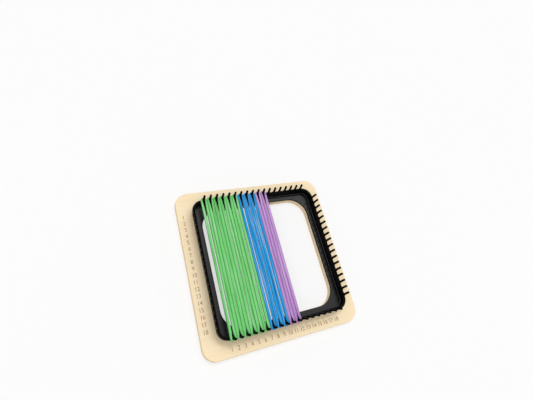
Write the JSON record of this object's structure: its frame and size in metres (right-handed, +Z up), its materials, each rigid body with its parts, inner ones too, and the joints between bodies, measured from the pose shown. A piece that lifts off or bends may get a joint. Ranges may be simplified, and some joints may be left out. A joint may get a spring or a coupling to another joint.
{
  "type": "potholder loom",
  "caption": "Square pegged weaving frame on a rounded wooden board, part strung with parallel elastic loops, for weaving potholders.",
  "frame": {"origin": "centre of the board's underside, on the surface that it rests on", "axes": "+Z up out of the board, +X along the numbered bottom edge, +Y up the numbered left edge"},
  "size_m": [0.2376, 0.2376, 0.034],
  "materials": {
    "board_wood": "smooth unvarnished plywood",
    "black_plastic": "satin",
    "screw_steel": "zinc plated",
    "green_cotton": "knitted",
    "blue_cotton": "knitted",
    "purple_cotton": "knitted"
  },
  "bodies": {
    "loom": {"base_board": "board_wood", "peg_frame": "black_plastic", "top_pegs": "black_plastic", "bottom_pegs": "black_plastic", "left_pegs": "black_plastic", "right_pegs": "black_plastic", "frame_screws": "screw_steel"},
    "green_loop_1": {"green_loop_1": "green_cotton"},
    "green_loop_2": {"green_loop_2": "green_cotton"},
    "green_loop_3": {"green_loop_3": "green_cotton"},
    "green_loop_4": {"green_loop_4": "green_cotton"},
    "green_loop_5": {"green_loop_5": "green_cotton"},
    "green_loop_6": {"green_loop_6": "green_cotton"},
    "blue_loop_1": {"blue_loop_1": "blue_cotton"},
    "blue_loop_2": {"blue_loop_2": "blue_cotton"},
    "blue_loop_3": {"blue_loop_3": "blue_cotton"},
    "purple_loop_1": {"purple_loop_1": "purple_cotton"},
    "purple_loop_2": {"purple_loop_2": "purple_cotton"}
  },
  "joints": [
    {"name": "green_loop_1_lift", "type": "slide", "parent": "loom", "child": "green_loop_1", "axis": [0, 0, 1], "range_m": [0, 0.03]},
    {"name": "green_loop_2_lift", "type": "slide", "parent": "loom", "child": "green_loop_2", "axis": [0, 0, 1], "range_m": [0, 0.03]},
    {"name": "green_loop_3_lift", "type": "slide", "parent": "loom", "child": "green_loop_3", "axis": [0, 0, 1], "range_m": [0, 0.03]},
    {"name": "green_loop_4_lift", "type": "slide", "parent": "loom", "child": "green_loop_4", "axis": [0, 0, 1], "range_m": [0, 0.03]},
    {"name": "green_loop_5_lift", "type": "slide", "parent": "loom", "child": "green_loop_5", "axis": [0, 0, 1], "range_m": [0, 0.03]},
    {"name": "green_loop_6_lift", "type": "slide", "parent": "loom", "child": "green_loop_6", "axis": [0, 0, 1], "range_m": [0, 0.03]},
    {"name": "blue_loop_1_lift", "type": "slide", "parent": "loom", "child": "blue_loop_1", "axis": [0, 0, 1], "range_m": [0, 0.03]},
    {"name": "blue_loop_2_lift", "type": "slide", "parent": "loom", "child": "blue_loop_2", "axis": [0, 0, 1], "range_m": [0, 0.03]},
    {"name": "blue_loop_3_lift", "type": "slide", "parent": "loom", "child": "blue_loop_3", "axis": [0, 0, 1], "range_m": [0, 0.03]},
    {"name": "purple_loop_1_lift", "type": "slide", "parent": "loom", "child": "purple_loop_1", "axis": [0, 0, 1], "range_m": [0, 0.03]},
    {"name": "purple_loop_2_lift", "type": "slide", "parent": "loom", "child": "purple_loop_2", "axis": [0, 0, 1], "range_m": [0, 0.03]}
  ]
}
